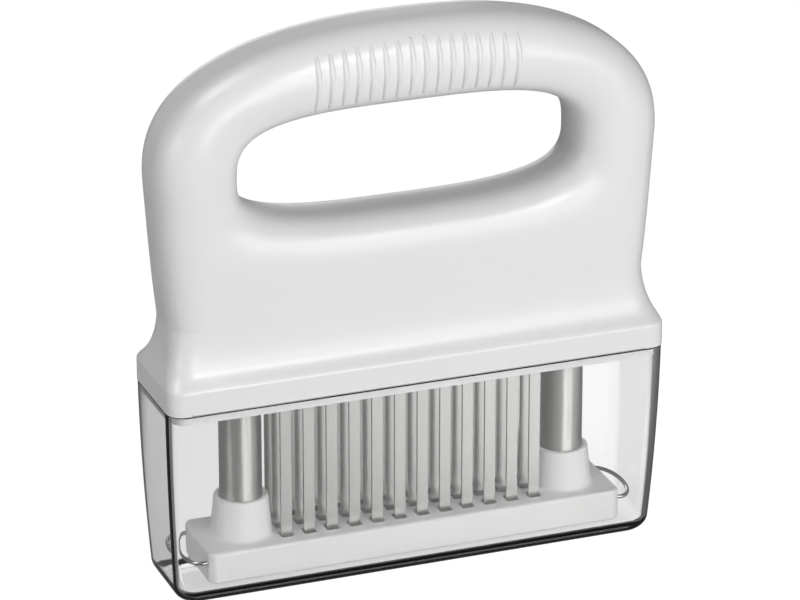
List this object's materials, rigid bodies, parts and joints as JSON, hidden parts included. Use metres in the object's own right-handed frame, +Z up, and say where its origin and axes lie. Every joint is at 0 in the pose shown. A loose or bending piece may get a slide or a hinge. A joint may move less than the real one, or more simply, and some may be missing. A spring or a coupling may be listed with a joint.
{
  "type": "blade meat tenderizer",
  "caption": "Hand-held meat tenderizer: closed-loop grip over rows of needle blades with a sprung guard plate, standing in a clear protective cap.",
  "frame": {"origin": "centre of the cap's bottom face, where the tool stands", "axes": "+X along the grip, +Y from front to back, +Z up from the cap's floor to the top of the grip"},
  "size_m": [0.14, 0.0328, 0.1538],
  "materials": {
    "clear_plastic": "clear moulded plastic, polished",
    "white_plastic": "white, satin",
    "white_plastic_insert": "white, satin",
    "white_plastic_guard": "white, satin",
    "grey_plastic": "pale grey, satin",
    "nylon": "natural nylon",
    "tube_steel": "drawn stainless tube, fine lengthwise grain",
    "blade_steel": "stainless strip, fine lengthwise grain",
    "wire_steel": "bright drawn wire",
    "spring_steel": "spring wire",
    "steel_hardware": "plain steel"
  },
  "bodies": {
    "cover": {"cover": "clear_plastic"},
    "handle": {"handle": "white_plastic", "blade_carrier": "white_plastic_insert", "blade_block": "grey_plastic", "blade_pins": "steel_hardware", "carrier_screws": "steel_hardware", "block_screws": "steel_hardware", "guide_bush_left": "nylon", "guide_bush_right": "nylon", "return_spring_left": "spring_steel", "return_spring_right": "spring_steel", "blade_front_01": "blade_steel", "blade_front_02": "blade_steel", "blade_front_03": "blade_steel", "blade_front_04": "blade_steel", "blade_front_05": "blade_steel", "blade_front_06": "blade_steel", "blade_front_07": "blade_steel", "blade_front_08": "blade_steel", "blade_front_09": "blade_steel", "blade_front_10": "blade_steel", "blade_front_11": "blade_steel", "blade_front_12": "blade_steel", "blade_middle_01": "blade_steel", "blade_middle_02": "blade_steel", "blade_middle_03": "blade_steel", "blade_middle_04": "blade_steel", "blade_middle_05": "blade_steel", "blade_middle_06": "blade_steel", "blade_middle_07": "blade_steel", "blade_middle_08": "blade_steel", "blade_middle_09": "blade_steel", "blade_middle_10": "blade_steel", "blade_middle_11": "blade_steel", "blade_middle_12": "blade_steel", "blade_back_01": "blade_steel", "blade_back_02": "blade_steel", "blade_back_03": "blade_steel", "blade_back_04": "blade_steel", "blade_back_05": "blade_steel", "blade_back_06": "blade_steel", "blade_back_07": "blade_steel", "blade_back_08": "blade_steel", "blade_back_09": "blade_steel", "blade_back_10": "blade_steel", "blade_back_11": "blade_steel", "blade_back_12": "blade_steel"},
    "guard": {"guard_plate": "white_plastic_guard", "plunger_tube_left": "tube_steel", "plunger_tube_right": "tube_steel", "foot_plug_left": "steel_hardware", "foot_plug_right": "steel_hardware", "stop_ring_left": "steel_hardware", "stop_ring_right": "steel_hardware", "retaining_clip_left": "wire_steel", "retaining_clip_right": "wire_steel"}
  },
  "joints": [
    {"name": "handle_lift", "type": "slide", "parent": "cover", "child": "handle", "axis": [0, 0, 1], "range_m": [0, 0.06]},
    {"name": "guard_slide", "type": "slide", "parent": "handle", "child": "guard", "axis": [0, 0, 1], "range_m": [0, 0.0275], "stiffness_N_per_m": 400, "springref_m": -0.02, "deforming": ["return_spring_left", "return_spring_right"]}
  ]
}
